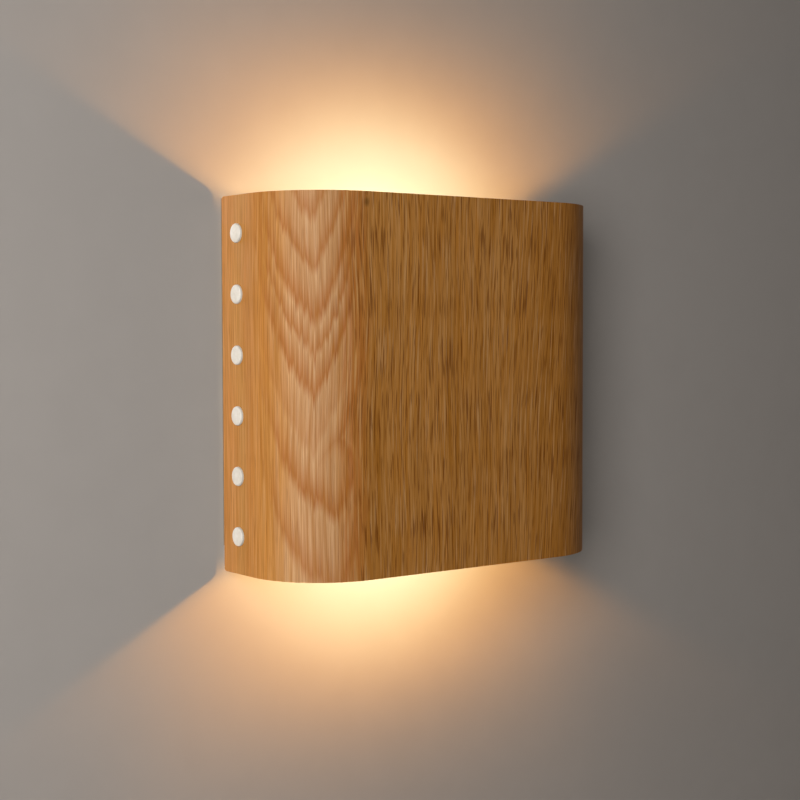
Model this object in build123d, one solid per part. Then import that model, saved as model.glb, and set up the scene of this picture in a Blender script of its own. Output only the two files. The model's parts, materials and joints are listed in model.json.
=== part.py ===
from build123d import *
import math
import os

# Wall sconce: a bent oak-veneer shade riveted to a folded steel frame, which hangs by two keyholes on a
# wall bracket. Two capsule bulbs stand back to back on a C-shaped bracket, one shining up and one down.
# Millimetres. The wall is the plane y = 0, the lamp stands in front of it at negative y, z is up,
# and the origin is the middle of the bracket's back face.

os.makedirs("parts", exist_ok=True)

# Shade
shade_width = 240.0
shade_height = 220.0
shade_depth = 81.0
shade_corner_radius = 48.0
veneer_thickness = 0.8
liner_thickness = 0.5
sheet_corner_radius = 2.0
wall_gap = 2.0

# Rivets down each side of the shade
rivets_per_side = 6
rivet_end_margin = 22.0
rivet_setback = 17.0
rivet_head_radius = 5.6
rivet_head_thickness = 1.9
rivet_rim_height = 1.6
rivet_head_edge = 1.1
rivet_shank_radius = 2.5
rivet_hole_clearance = 0.1
rivet_collar_radius = 4.5
rivet_collar_thickness = 1.2
rivet_pin_radius = 1.5
rivet_pin_clearance = 0.05

# Folded back frame
frame_steel = 1.0
frame_end_margin = 3.0
frame_bend_radius = 1.5
plate_standoff = 8.0
flange_depth = 24.0
return_half_width = 100.0
return_wall_clearance = 0.5
corner_relief_radius = 1.5

# Wall bracket and the headed studs that the frame hangs on
bracket_length = 180.0
bracket_height = 32.0
bracket_steel = 1.5
bracket_corner_radius = 5.0
bracket_window_radius = 12.0
wall_slot_spacing = 90.0
wall_slot_length = 12.0
wall_slot_width = 4.5
stud_spacing = 150.0
stud_shoulder_radius = 4.0
stud_neck_radius = 2.5
stud_head_radius = 4.5
stud_head_thickness = 1.5
stud_play = 0.15
stud_tail_radius = 2.5
stud_tail_recess = 0.2
fixed_fit = 0.05

# Keyholes in the frame
keyhole_lift = 9.0
keyhole_slot_clearance = 0.2
keyhole_entry_clearance = 0.5

# Cable grommet
grommet_bore_radius = 4.0
grommet_body_radius = 6.0
grommet_flange_radius = 8.0
grommet_flange_thickness = 1.5
grommet_fit = 0.1

# C-shaped bracket that carries the two lampholders
carrier_steel = 1.2
carrier_bend_radius = 0.8
carrier_width = 28.0
carrier_shelf_spacing = 27.2
carrier_shelf_reach = 46.0
carrier_nose_radius = 8.0
carrier_ear_span = 64.0
carrier_ear_height = 14.0
carrier_screw_spacing = 50.0
carrier_grommet_clearance = 1.2

# Lampholders
holder_reach = 33.0
holder_radius = 11.0
holder_height = 20.0
holder_edge = 1.0
base_recess_depth = 4.0
base_recess_clearance = 0.4
contact_chamber_depth = 11.0
contact_chamber_width = 2.4
contact_chamber_length = 5.0
contact_strip = 0.4
contact_grip_clearance = 0.15
contact_fit = 0.1
contact_top_recess = 0.5
holder_screw_spacing = 14.4
holder_screw_grip = 6.0

# Capsule bulbs
pin_spacing = 9.0
pin_wire_radius = 0.4
pin_loop_width = 1.8
pin_length = 8.0
bulb_base_radius = 7.4
bulb_base_length = 4.4
bulb_collar_radius = 8.2
bulb_collar_length = 5.7
bulb_spigot_radius = 6.6
bulb_spigot_length = 2.0
bulb_seat_gap = 0.3
envelope_radius = 7.8
envelope_wall = 0.8
envelope_length = 39.0
led_column_width = 6.0
led_column_length = 28.0
led_chip_size = 2.6
led_chip_thickness = 0.5
led_chip_rows = 4

# Screws and nuts
m4_radius = 2.0
m4_head_radius = 4.0
m4_head_height = 2.4
m4_nut_flats = 7.0
m4_nut_height = 3.2
m4_tip_length = 0.6
m3_radius = 1.5
m3_head_radius = 2.75
m3_head_height = 2.0
screw_hole_clearance = 0.2
screw_slot_width = 0.8
screw_slot_depth = 0.9
head_edge = 0.5

# Terminal block
terminal_poles = 3
terminal_pitch = 10.0
terminal_length = 18.0
terminal_base_depth = 12.0
terminal_tower_height = 3.5
terminal_tower_radius = 2.9
terminal_x = 50.0
terminal_wire_depth = 6.5
terminal_groove_width = 1.2
terminal_groove_depth = 7.0
barrel_length = 12.0
barrel_radius = 2.5
barrel_bore_radius = 1.6
barrel_screw_offset = 4.2
barrel_screw_radius = 1.3
barrel_screw_recess = 1.5
wire_funnel_radius = 3.0
terminal_screw_well_depth = 2.0

# Earth fixing
earth_x = 30.0
earth_z = -34.0
ring_radius = 4.2
ring_thickness = 0.8
ring_neck_width = 3.0
ring_neck_length = 4.0
crimp_radius = 1.7
crimp_length = 8.0
washer_thickness = 0.8

# Internal leads
lead_diameter = 1.8
lead_pair_spacing = 2.1
lead_fit = 0.05
lead_hole_clearance = 1.6
lead_run_in = 3.5
earth_lead_rise = 3.0

# Depths and widths that several pieces share
sheet_thickness = veneer_thickness + liner_thickness
shade_back_y = -wall_gap
shade_front_y = shade_back_y - shade_depth
frame_half_width = shade_width / 2 - sheet_thickness
frame_height = shade_height - 2 * frame_end_margin
plate_back_y = -plate_standoff
plate_front_y = plate_back_y - frame_steel
flange_front_y = plate_back_y - flange_depth
rivet_y = shade_back_y - rivet_setback
rivet_hole_radius = rivet_shank_radius + rivet_hole_clearance
carrier_front_y = plate_front_y - carrier_shelf_reach
carrier_web_y = plate_front_y - carrier_steel
shelf_top_z = carrier_shelf_spacing / 2
holder_y = plate_front_y - holder_reach
holder_top_z = shelf_top_z + holder_height
recess_floor_z = holder_top_z - base_recess_depth
chamber_floor_z = recess_floor_z - contact_chamber_depth
bulb_bottom_z = recess_floor_z + bulb_seat_gap
envelope_bottom_z = bulb_bottom_z + bulb_base_length + bulb_collar_length
m4_hole_radius = m4_radius + screw_hole_clearance
m3_hole_radius = m3_radius + fixed_fit
lead_radius = lead_diameter / 2
lead_hole_radius = lead_radius + lead_hole_clearance
terminal_wire_y = plate_front_y - terminal_wire_depth
terminal_face_y = plate_front_y - terminal_base_depth


def block(x_low, x_high, y_low, y_high, z_low, z_high):
    """A box between two corners."""
    centre = Pos((x_low + x_high) / 2, (y_low + y_high) / 2, (z_low + z_high) / 2)
    return centre * Box(x_high - x_low, y_high - y_low, z_high - z_low)


def rod_x(radius, y, z, x_low, x_high):
    """A round rod along X."""
    return Pos((x_low + x_high) / 2, y, z) * Rot(0, 90, 0) * Cylinder(radius, x_high - x_low)


def rod_y(radius, x, z, y_low, y_high):
    """A round rod along Y."""
    return Pos(x, (y_low + y_high) / 2, z) * Rot(90, 0, 0) * Cylinder(radius, y_high - y_low)


def rod_z(radius, x, y, z_low, z_high):
    """A round rod along Z."""
    return Pos(x, y, (z_low + z_high) / 2) * Cylinder(radius, z_high - z_low)


def flipped(piece):
    """The same piece seen in the level plane through the origin: the lower half of the lamp."""
    return mirror(piece, Plane.XY)


def other_side(piece):
    """The same piece on the other side of the lamp."""
    return mirror(piece, Plane.YZ)


def save(name, *pieces):
    """Write one node, of one solid or a group of separate solids."""
    solids = [solid for piece in pieces for solid in piece.solids()]
    node = solids[0] if len(solids) == 1 else Compound(children=solids)
    node.label = name
    export_step(node, f"parts/{name}.step")


def rivet_heights():
    """Heights of one side's rivets, evenly spaced between the end margins."""
    lowest = rivet_end_margin - shade_height / 2
    pitch = (shade_height - 2 * rivet_end_margin) / (rivets_per_side - 1)
    return [lowest + i * pitch for i in range(rivets_per_side)]


def drill_rivet_holes(sheet):
    """Cut both sides' rivet holes through a sheet."""
    reach = shade_width
    for z in rivet_heights():
        sheet -= rod_x(rivet_hole_radius, rivet_y, z, -reach, reach)
    return sheet


def shade_plan(inset):
    """Plan of everything inside the shade's outer surface less an inset, open at the back edges."""
    half_width = shade_width / 2 - inset
    front = shade_front_y + inset
    plan = Pos(0, (shade_back_y + front) / 2) * Rectangle(2 * half_width, shade_back_y - front)
    front_corners = plan.vertices().group_by(Axis.Y)[0]
    return fillet(front_corners, shade_corner_radius - inset)


def shade_skin(inset, thickness):
    """One bent sheet of the shade, with its free corners rounded and its rivet holes cut."""
    section = shade_plan(inset) - shade_plan(inset + thickness)
    sheet = Pos(0, 0, -shade_height / 2) * extrude(section, shade_height)
    side = Pos((shade_back_y + shade_front_y) / 2, 0) * Rectangle(shade_depth, shade_height)
    back_corners = side.vertices().group_by(Axis.X)[-1]
    side = Plane.YZ * fillet(back_corners, sheet_corner_radius)
    sheet &= extrude(side, shade_width, both=True)
    return drill_rivet_holes(sheet)


def rivet_head(z):
    """Outer half of a snap rivet on the right side: a low dome with a soft rim, on a hollow shank."""
    outer_x = shade_width / 2
    inner_x = frame_half_width - frame_steel
    rim_x = outer_x + rivet_rim_height
    crown_x = outer_x + rivet_head_thickness
    profile = make_face(
        [
            Line((outer_x, 0), (outer_x, rivet_head_radius)),
            Line((outer_x, rivet_head_radius), (rim_x, rivet_head_radius)),
            RadiusArc(
                (rim_x, rivet_head_radius),
                (crown_x, 0),
                (rivet_head_radius**2 + (crown_x - rim_x) ** 2) / (2 * (crown_x - rim_x)),
            ),
            Line((crown_x, 0), (outer_x, 0)),
        ]
    )
    rim_corner = profile.vertices().group_by(Axis.Y)[-1].sort_by(Axis.X)[-1]
    head = revolve(fillet(rim_corner, rivet_head_edge), Axis.X)
    head += rod_x(rivet_shank_radius, 0, 0, inner_x, outer_x)
    bore_radius = rivet_pin_radius + rivet_pin_clearance
    head -= rod_x(bore_radius, 0, 0, inner_x, outer_x)
    return Pos(0, rivet_y, z) * head


def rivet_back(z):
    """Inner half of a snap rivet on the right side: a collar on the flange, with a pin up the shank."""
    seat_x = frame_half_width - frame_steel
    pin_end_x = shade_width / 2 - rivet_pin_clearance
    back = rod_x(rivet_collar_radius, 0, 0, seat_x - rivet_collar_thickness, seat_x)
    back = chamfer(back.edges().group_by(Axis.X)[0], rivet_collar_thickness / 3)
    back += rod_x(rivet_pin_radius, 0, 0, seat_x, pin_end_x)
    return Pos(0, rivet_y, z) * back


def fold(x_half, front_y, back_y, top_z, steel, bend_radius):
    """A plate's upper edge turned back towards the wall, as a bent strip along X."""
    outside = bend_radius + steel
    low = top_z - 2 * outside
    outer = Pos((front_y + back_y) / 2, (low + top_z) / 2) * Rectangle(back_y - front_y, top_z - low)
    outer = fillet(outer.vertices().group_by(Axis.Y)[-1].sort_by(Axis.X)[0], outside)
    inner_front = front_y + steel
    inner_top = top_z - steel
    inner = Pos((inner_front + back_y) / 2, (low + inner_top) / 2) * Rectangle(
        back_y - inner_front, inner_top - low
    )
    inner = fillet(inner.vertices().group_by(Axis.Y)[-1].sort_by(Axis.X)[0], bend_radius)
    return extrude(Plane.YZ * (outer - inner), x_half, both=True)


def keyhole(x):
    """Opening for one stud: a slot that the neck hangs in, over an entry that the head passes."""
    slot_radius = stud_neck_radius + keyhole_slot_clearance
    entry_radius = stud_head_radius + keyhole_entry_clearance
    low_y = plate_front_y - frame_steel
    high_y = plate_back_y + frame_steel
    opening = rod_y(slot_radius, x, 0, low_y, high_y)
    opening += block(x - slot_radius, x + slot_radius, low_y, high_y, -keyhole_lift, 0)
    opening += rod_y(entry_radius, x, -keyhole_lift, low_y, high_y)
    return opening


def back_frame():
    """Folded frame: plate, two forward flanges for the rivets, and two returns towards the wall."""
    outside = frame_bend_radius + frame_steel
    depth = plate_back_y - flange_front_y
    outer = Pos(0, (plate_back_y + flange_front_y) / 2) * Rectangle(2 * frame_half_width, depth)
    outer = fillet(outer.vertices().group_by(Axis.Y)[-1], outside)
    inner_half = frame_half_width - frame_steel
    inner = Pos(0, (plate_front_y + flange_front_y) / 2) * Rectangle(2 * inner_half, depth - frame_steel)
    inner = fillet(inner.vertices().group_by(Axis.Y)[-1], frame_bend_radius)
    frame = Pos(0, 0, -frame_height / 2) * extrude(outer - inner, frame_height)
    top_z = frame_height / 2
    bend_z = top_z - outside
    return_edge_y = -return_wall_clearance
    top_return = fold(
        return_half_width, plate_front_y, return_edge_y, top_z, frame_steel, frame_bend_radius
    )
    for half in (lambda piece: piece, flipped):
        frame -= half(
            block(-return_half_width, return_half_width, plate_front_y, plate_back_y, bend_z, top_z)
        )
        frame += half(top_return)
        for x in (-return_half_width, return_half_width):
            frame -= half(rod_y(corner_relief_radius, x, bend_z, plate_front_y, plate_back_y))
    for x in (-stud_spacing / 2, stud_spacing / 2):
        frame -= keyhole(x)
    frame -= rod_y(grommet_body_radius + grommet_fit, 0, 0, plate_front_y, plate_back_y)
    for x, z in m4_places():
        frame -= rod_y(m4_hole_radius, x, z, plate_front_y, plate_back_y)
    x, z = terminal_screw_place()
    frame -= rod_y(m3_hole_radius, x, z, plate_front_y, plate_back_y)
    return drill_rivet_holes(frame)


def m4_places():
    """Places of the M4 screws in the plate: two for the lampholder carrier and one for the earth."""
    half = carrier_screw_spacing / 2
    return [(-half, 0), (half, 0), (earth_x, earth_z)]


def wall_bracket():
    """Flat steel strap that screws to the wall, with two slots, a cable window and two stud holes."""
    back_y = 0
    strap = Plane.XZ * RectangleRounded(bracket_length, bracket_height, bracket_corner_radius)
    strap = extrude(strap, bracket_steel)
    cuts = rod_y(bracket_window_radius, 0, 0, -bracket_steel, back_y)
    slot = extrude(Plane.XZ * SlotOverall(wall_slot_length, wall_slot_width), bracket_steel)
    for side in (-1, 1):
        cuts += Pos(side * wall_slot_spacing / 2, 0, 0) * slot
        cuts += rod_y(stud_tail_radius, side * stud_spacing / 2, 0, -bracket_steel, back_y)
    return strap - cuts


def hanging_stud(x):
    """Headed stud: tail in the bracket, shoulder that spaces the frame, neck, and head."""
    shoulder_back_y = -bracket_steel
    shoulder_front_y = plate_back_y + stud_play
    head_back_y = plate_front_y - stud_play
    stud = rod_y(stud_tail_radius - fixed_fit, x, 0, shoulder_back_y, -stud_tail_recess)
    stud += rod_y(stud_shoulder_radius, x, 0, shoulder_front_y, shoulder_back_y)
    stud += rod_y(stud_neck_radius, x, 0, head_back_y, shoulder_front_y)
    head = rod_y(stud_head_radius, x, 0, head_back_y - stud_head_thickness, head_back_y)
    stud += chamfer(head.edges().group_by(Axis.Y)[0], stud_head_thickness / 3)
    return stud


def cable_grommet():
    """Rubber grommet in the plate's cable hole: a spool with a flange on each face of the plate."""
    back_y = plate_back_y + grommet_flange_thickness
    front_y = plate_front_y - grommet_flange_thickness
    grommet = rod_y(grommet_body_radius, 0, 0, plate_front_y, plate_back_y)
    for low_y, high_y, outer_end in ((plate_back_y, back_y, -1), (front_y, plate_front_y, 0)):
        flange = rod_y(grommet_flange_radius, 0, 0, low_y, high_y)
        rim = flange.edges().group_by(Axis.Y)[outer_end]
        grommet += chamfer(rim, grommet_flange_thickness / 3)
    return grommet - rod_y(grommet_bore_radius, 0, 0, front_y, back_y)


def lampholder_carrier():
    """C-shaped bracket: a web on the plate with two ears, and a shelf above and below."""
    outside = carrier_bend_radius + carrier_steel
    depth = plate_front_y - carrier_front_y
    outer = Pos((carrier_front_y + plate_front_y) / 2, 0) * Rectangle(depth, carrier_shelf_spacing)
    outer = fillet(outer.vertices().group_by(Axis.X)[-1], outside)
    gap = carrier_shelf_spacing - 2 * carrier_steel
    inner = Pos((carrier_front_y + carrier_web_y) / 2, 0) * Rectangle(depth - carrier_steel, gap)
    inner = fillet(inner.vertices().group_by(Axis.X)[-1], carrier_bend_radius)
    carrier = extrude(Plane.YZ * (outer - inner), carrier_width / 2, both=True)
    nose = Pos(0, (carrier_front_y + plate_front_y) / 2) * Rectangle(carrier_width, depth)
    nose = fillet(nose.vertices().group_by(Axis.Y)[0], carrier_nose_radius)
    carrier &= extrude(nose, carrier_shelf_spacing, both=True)
    ears = Plane.XZ.offset(-plate_front_y) * RectangleRounded(
        carrier_ear_span, carrier_ear_height, carrier_ear_height / 2 - head_edge
    )
    carrier += extrude(ears, carrier_steel)
    window_radius = grommet_flange_radius + carrier_grommet_clearance
    carrier -= rod_y(window_radius, 0, 0, carrier_web_y, plate_front_y)
    for side in (-1, 1):
        screw_x = side * carrier_screw_spacing / 2
        carrier -= rod_y(m4_hole_radius, screw_x, 0, carrier_web_y, plate_front_y)
        lead_x = side * pin_spacing / 2
        carrier -= rod_z(lead_hole_radius, lead_x, holder_y, -shelf_top_z, shelf_top_z)
        screw_y = holder_y + side * holder_screw_spacing / 2
        carrier -= rod_z(m3_hole_radius, 0, screw_y, -shelf_top_z, shelf_top_z)
    return carrier


def lampholder():
    """Upper ceramic lampholder: recess for the bulb's base, two contact chambers, two blind screw holes."""
    body = rod_z(holder_radius, 0, holder_y, shelf_top_z, holder_top_z)
    body = chamfer(body.edges().group_by(Axis.Z)[-1], holder_edge)
    recess_radius = bulb_base_radius + base_recess_clearance
    body -= rod_z(recess_radius, 0, holder_y, recess_floor_z, holder_top_z)
    half_length = contact_chamber_length / 2
    for side in (-1, 1):
        x = side * pin_spacing / 2
        body -= block(
            x - contact_chamber_width / 2,
            x + contact_chamber_width / 2,
            holder_y - half_length,
            holder_y + half_length,
            chamber_floor_z,
            recess_floor_z,
        )
        body -= rod_z(lead_radius + lead_fit, x, holder_y, shelf_top_z, chamber_floor_z)
        screw_y = holder_y + side * holder_screw_spacing / 2
        hole_top = shelf_top_z + holder_screw_grip + m4_tip_length
        body -= rod_z(m3_hole_radius, 0, screw_y, shelf_top_z, hole_top)
    return body


def lampholder_contact(side):
    """Spring strip in one chamber: a U that the bulb's pin slides down into."""
    x = side * pin_spacing / 2
    grip = pin_wire_radius + contact_grip_clearance
    outer = grip + contact_strip
    low_z = chamber_floor_z + contact_fit
    high_z = recess_floor_z - contact_top_recess
    half_length = contact_chamber_length / 2 - contact_fit
    strip = block(x - outer, x + outer, holder_y - half_length, holder_y + half_length, low_z, high_z)
    strip = fillet(strip.edges().filter_by(Axis.Y).group_by(Axis.Z)[0], contact_strip / 2)
    floor_z = low_z + contact_strip
    strip -= block(x - grip, x + grip, holder_y - half_length, holder_y + half_length, floor_z, high_z)
    return strip


def slotted(head, y_face, x, z):
    """Cut the driver slot across a screw head that faces forward."""
    half = screw_slot_width / 2
    reach = 2 * m4_head_radius
    return head - block(x - reach, x + reach, y_face, y_face + screw_slot_depth, z - half, z + half)


def m4_screw(x, z, seat_y):
    """M4 pan-head screw driven from the front, long enough to pass its nut."""
    face_y = seat_y - m4_head_height
    tip_y = plate_back_y + m4_nut_height + m4_tip_length
    head = rod_y(m4_head_radius, x, z, face_y, seat_y)
    head = chamfer(head.edges().group_by(Axis.Y)[0], head_edge)
    screw = head + rod_y(m4_radius, x, z, seat_y, tip_y)
    return slotted(screw, face_y, x, z)


def m4_nut(x, z):
    """Hexagon nut behind the plate."""
    hexagon = RegularPolygon(m4_nut_flats / 2, 6, major_radius=False)
    nut = extrude(Plane.XZ.offset(-plate_back_y) * Pos(x, z) * hexagon, -m4_nut_height)
    bore_radius = m4_radius + fixed_fit
    return nut - rod_y(bore_radius, x, z, plate_back_y, plate_back_y + m4_nut_height)


def holder_screw(side):
    """M3 screw under the upper shelf, up into the lampholder."""
    y = holder_y + side * holder_screw_spacing / 2
    seat_z = shelf_top_z - carrier_steel
    face_z = seat_z - m3_head_height
    head = rod_z(m3_head_radius, 0, y, face_z, seat_z)
    head = chamfer(head.edges().group_by(Axis.Z)[0], head_edge)
    screw = head + rod_z(m3_radius, 0, y, seat_z, shelf_top_z + holder_screw_grip)
    half = screw_slot_width / 2
    reach = m3_head_radius + head_edge
    return screw - block(-reach, reach, y - half, y + half, face_z, face_z + screw_slot_depth)


def bulb_base():
    """Bulb's moulded base: plug in the recess, collar above it, spigot inside the envelope."""
    plug_top = bulb_bottom_z + bulb_base_length
    spigot_top = envelope_bottom_z + bulb_spigot_length
    plug = rod_z(bulb_base_radius, 0, holder_y, bulb_bottom_z, plug_top)
    plug = chamfer(plug.edges().group_by(Axis.Z)[0], head_edge)
    collar = rod_z(bulb_collar_radius, 0, holder_y, plug_top, envelope_bottom_z)
    collar = chamfer(collar.edges().group_by(Axis.Z)[0], head_edge)
    return plug + collar + rod_z(bulb_spigot_radius, 0, holder_y, envelope_bottom_z, spigot_top)


def bulb_pin(side):
    """One hairpin contact of bent wire, its loop lying across the lamp's depth."""
    x = side * pin_spacing / 2
    bend = pin_loop_width / 2
    bend_z = bulb_bottom_z - pin_length + bend + pin_wire_radius
    near = Vector(x, holder_y - bend, 0)
    far = Vector(x, holder_y + bend, 0)
    top = Vector(0, 0, bulb_bottom_z)
    low = Vector(0, 0, bend_z)
    lowest = Vector(x, holder_y, bend_z - bend)
    path = Wire(
        [
            Edge.make_line(near + top, near + low),
            Edge.make_three_point_arc(near + low, lowest, far + low),
            Edge.make_line(far + low, far + top),
        ]
    )
    wire_section = Plane(near + top, z_dir=(0, 0, -1)) * Circle(pin_wire_radius)
    return sweep(wire_section, path)


def bulb_envelope():
    """Frosted cover: a thin tube with a rounded end, open at the base."""
    height = envelope_length - envelope_radius

    def capsule(radius, low, straight):
        tube = rod_z(radius, 0, holder_y, low, low + straight)
        return tube + Pos(0, holder_y, low + straight) * Sphere(radius)

    outer = capsule(envelope_radius, envelope_bottom_z, height)
    return outer - capsule(envelope_radius - envelope_wall, envelope_bottom_z, height)


def bulb_core():
    """Square column inside the cover, with rows of chips on its four faces."""
    low = envelope_bottom_z + bulb_spigot_length
    high = low + led_column_length
    half = led_column_width / 2
    core = block(-half, half, holder_y - half, holder_y + half, low, high)
    pitch = led_column_length / led_chip_rows
    chip_half = led_chip_size / 2
    reach = half + led_chip_thickness
    for row in range(led_chip_rows):
        z = low + (row + 0.5) * pitch
        core += block(-reach, reach, holder_y - chip_half, holder_y + chip_half, z - chip_half, z + chip_half)
        core += block(-chip_half, chip_half, holder_y - reach, holder_y + reach, z - chip_half, z + chip_half)
    return core


def pole_heights():
    """Heights of the terminal block's poles, from the lowest."""
    lowest = -terminal_pitch * (terminal_poles - 1) / 2
    return [lowest + i * terminal_pitch for i in range(terminal_poles)]


def terminal_screw_place():
    """Place of the screw that fixes the terminal block, between its two upper poles."""
    return terminal_x, pole_heights()[-1] - terminal_pitch / 2


def terminal_block():
    """Moulded block of three poles, each with a wire way and two screw towers."""
    half = terminal_length / 2
    rise = terminal_poles * terminal_pitch / 2
    low_x = terminal_x - half
    high_x = terminal_x + half
    housing = block(low_x, high_x, terminal_face_y, plate_front_y, -rise, rise)
    housing = fillet(housing.edges().filter_by(Axis.X).group_by(Axis.Y)[0], head_edge)
    tower_y = terminal_face_y - terminal_tower_height
    for z in pole_heights():
        for side in (-1, 1):
            x = terminal_x + side * barrel_screw_offset
            housing += rod_y(terminal_tower_radius, x, z, tower_y, terminal_face_y)
    for z in pole_heights()[:-1]:
        groove_z = z + terminal_pitch / 2
        half_groove = terminal_groove_width / 2
        groove_y = terminal_face_y + terminal_groove_depth
        housing -= block(
            low_x, high_x, terminal_face_y, groove_y, groove_z - half_groove, groove_z + half_groove
        )
    barrel_half = barrel_length / 2 + fixed_fit
    for z in pole_heights():
        housing -= rod_x(barrel_radius + fixed_fit, terminal_wire_y, z, low_x, high_x)
        housing -= rod_x(wire_funnel_radius, terminal_wire_y, z, low_x, terminal_x - barrel_half)
        housing -= rod_x(wire_funnel_radius, terminal_wire_y, z, terminal_x + barrel_half, high_x)
        for side in (-1, 1):
            x = terminal_x + side * barrel_screw_offset
            housing -= rod_y(barrel_screw_radius + fixed_fit, x, z, tower_y, terminal_wire_y)
    x, z = terminal_screw_place()
    housing -= rod_y(m3_hole_radius, x, z, terminal_face_y, plate_front_y)
    well_floor = terminal_face_y + terminal_screw_well_depth
    return housing - rod_y(m3_head_radius + screw_hole_clearance, x, z, terminal_face_y, well_floor)


def terminal_barrel(z):
    """Brass barrel of one pole, with two tapped holes towards the front."""
    low_x = terminal_x - barrel_length / 2
    high_x = terminal_x + barrel_length / 2
    barrel = rod_x(barrel_radius, terminal_wire_y, z, low_x, high_x)
    barrel -= rod_x(barrel_bore_radius, terminal_wire_y, z, low_x, high_x)
    for side in (-1, 1):
        x = terminal_x + side * barrel_screw_offset
        hole_end = terminal_wire_y - 2 * barrel_radius
        barrel -= rod_y(barrel_screw_radius + fixed_fit, x, z, hole_end, terminal_wire_y)
    return barrel


def terminal_screw(x, z):
    """Slotted grub screw of one barrel, flush with the barrel's bore."""
    face_y = terminal_face_y - terminal_tower_height + barrel_screw_recess
    tip_y = terminal_wire_y - barrel_bore_radius
    screw = rod_y(barrel_screw_radius, x, z, face_y, tip_y)
    return slotted(screw, face_y, x, z)


def terminal_fixing_screw():
    """M3 screw that holds the terminal block to the plate."""
    x, z = terminal_screw_place()
    seat_y = terminal_face_y + terminal_screw_well_depth
    face_y = seat_y - m3_head_height
    head = rod_y(m3_head_radius, x, z, face_y, seat_y)
    head = chamfer(head.edges().group_by(Axis.Y)[0], head_edge)
    screw = head + rod_y(m3_radius, x, z, seat_y, plate_back_y + m4_tip_length)
    return slotted(screw, face_y, x, z)


def earth_ring():
    """Crimped ring terminal, flat on the plate, with its crimp pointing up."""
    front_y = plate_front_y - ring_thickness
    crimp_y = plate_front_y - crimp_radius
    neck_top = earth_z + ring_radius + ring_neck_length
    half = ring_neck_width / 2
    ring = rod_y(ring_radius, earth_x, earth_z, front_y, plate_front_y)
    ring += block(earth_x - half, earth_x + half, front_y, plate_front_y, earth_z, neck_top)
    crimp_low = neck_top - ring_neck_length / 2
    ring += rod_z(crimp_radius, earth_x, crimp_y, crimp_low, crimp_low + crimp_length)
    ring -= rod_z(lead_radius + lead_fit, earth_x, crimp_y, neck_top, crimp_low + crimp_length)
    return ring - rod_y(m4_hole_radius, earth_x, earth_z, front_y, plate_front_y)


def earth_washer():
    """Spring washer between the ring terminal and its screw."""
    back_y = plate_front_y - ring_thickness
    washer = rod_y(ring_radius, earth_x, earth_z, back_y - washer_thickness, back_y)
    return washer - rod_y(m4_hole_radius, earth_x, earth_z, back_y - washer_thickness, back_y)


def lead(name, points):
    """Insulated lead along straight runs joined by large tangent arcs. Prints its radii and length."""
    corners = [Vector(*point) for point in points]
    runs = [after - before for before, after in zip(corners, corners[1:])]
    radii = []
    for run, following in zip(runs, runs[1:]):
        half_turn = math.radians(run.get_angle(following) / 2)
        radii.append(0.45 * min(run.length, following.length) / math.tan(half_turn))
    path = FilletPolyline(*corners, radius=radii)
    section = Plane(corners[0], z_dir=runs[0]) * Circle(lead_radius)
    tube = sweep(section, path)
    length = sum(edge.length for edge in path.edges())
    swept = math.pi * lead_radius**2 * length
    print(f"{name}: length {length:.1f}, radii {[round(r, 1) for r in radii]}, volume {tube.volume / swept:.4f}")
    return tube


def lampholder_leads():
    """Live and neutral leads of both lampholders, from the contact chambers to the terminal block."""
    contact_x = pin_spacing / 2
    start_z = chamber_floor_z - contact_fit
    turn_z = 4.3
    block_x = terminal_x - barrel_length / 2 - 2 * contact_fit
    pair = lead_pair_spacing / 2
    live_z = pole_heights()[-1]
    neutral_z = pole_heights()[-2]
    guide_x = terminal_x - terminal_length / 2 - lead_run_in
    upper_live = [
        (contact_x, holder_y, start_z),
        (contact_x, holder_y, turn_z),
        (20.0, -37.0, 3.8),
        (31.0, -23.0, 8.0),
        (guide_x, terminal_wire_y, live_z + pair),
        (block_x, terminal_wire_y, live_z + pair),
    ]
    lower_live = [
        (contact_x, holder_y, -start_z),
        (contact_x, holder_y, -turn_z),
        (20.0, -38.0, -3.4),
        (28.0, -25.0, 2.6),
        (guide_x, terminal_wire_y, live_z - pair),
        (block_x, terminal_wire_y, live_z - pair),
    ]
    upper_neutral = [
        (-contact_x, holder_y, start_z),
        (-contact_x, holder_y, turn_z),
        (-2.0, -27.0, 4.0),
        (11.0, -19.0, 4.5),
        (26.0, -17.0, 2.6),
        (guide_x, terminal_wire_y, neutral_z + pair),
        (block_x, terminal_wire_y, neutral_z + pair),
    ]
    lower_neutral = [
        (-contact_x, holder_y, -start_z),
        (-contact_x, holder_y, -turn_z),
        (-2.0, -27.0, -4.0),
        (11.0, -19.0, -4.5),
        (26.0, -17.0, -2.6),
        (guide_x, terminal_wire_y, neutral_z - pair),
        (block_x, terminal_wire_y, neutral_z - pair),
    ]
    live = [lead("upper live lead", upper_live), lead("lower live lead", lower_live)]
    neutral = [lead("upper neutral lead", upper_neutral), lead("lower neutral lead", lower_neutral)]
    return live, neutral


def earth_lead():
    """Earth lead from the ring terminal's crimp to the lowest pole."""
    crimp_y = plate_front_y - crimp_radius
    start_z = earth_z + ring_radius + ring_neck_length + contact_fit
    block_x = terminal_x - barrel_length / 2 - 2 * contact_fit
    pole_z = pole_heights()[0]
    points = [
        (earth_x, crimp_y, start_z),
        (earth_x, crimp_y, pole_z - earth_lead_rise),
        (terminal_x - terminal_length / 2 - lead_run_in, terminal_wire_y, pole_z),
        (block_x, terminal_wire_y, pole_z),
    ]
    return lead("earth lead", points)


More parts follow.
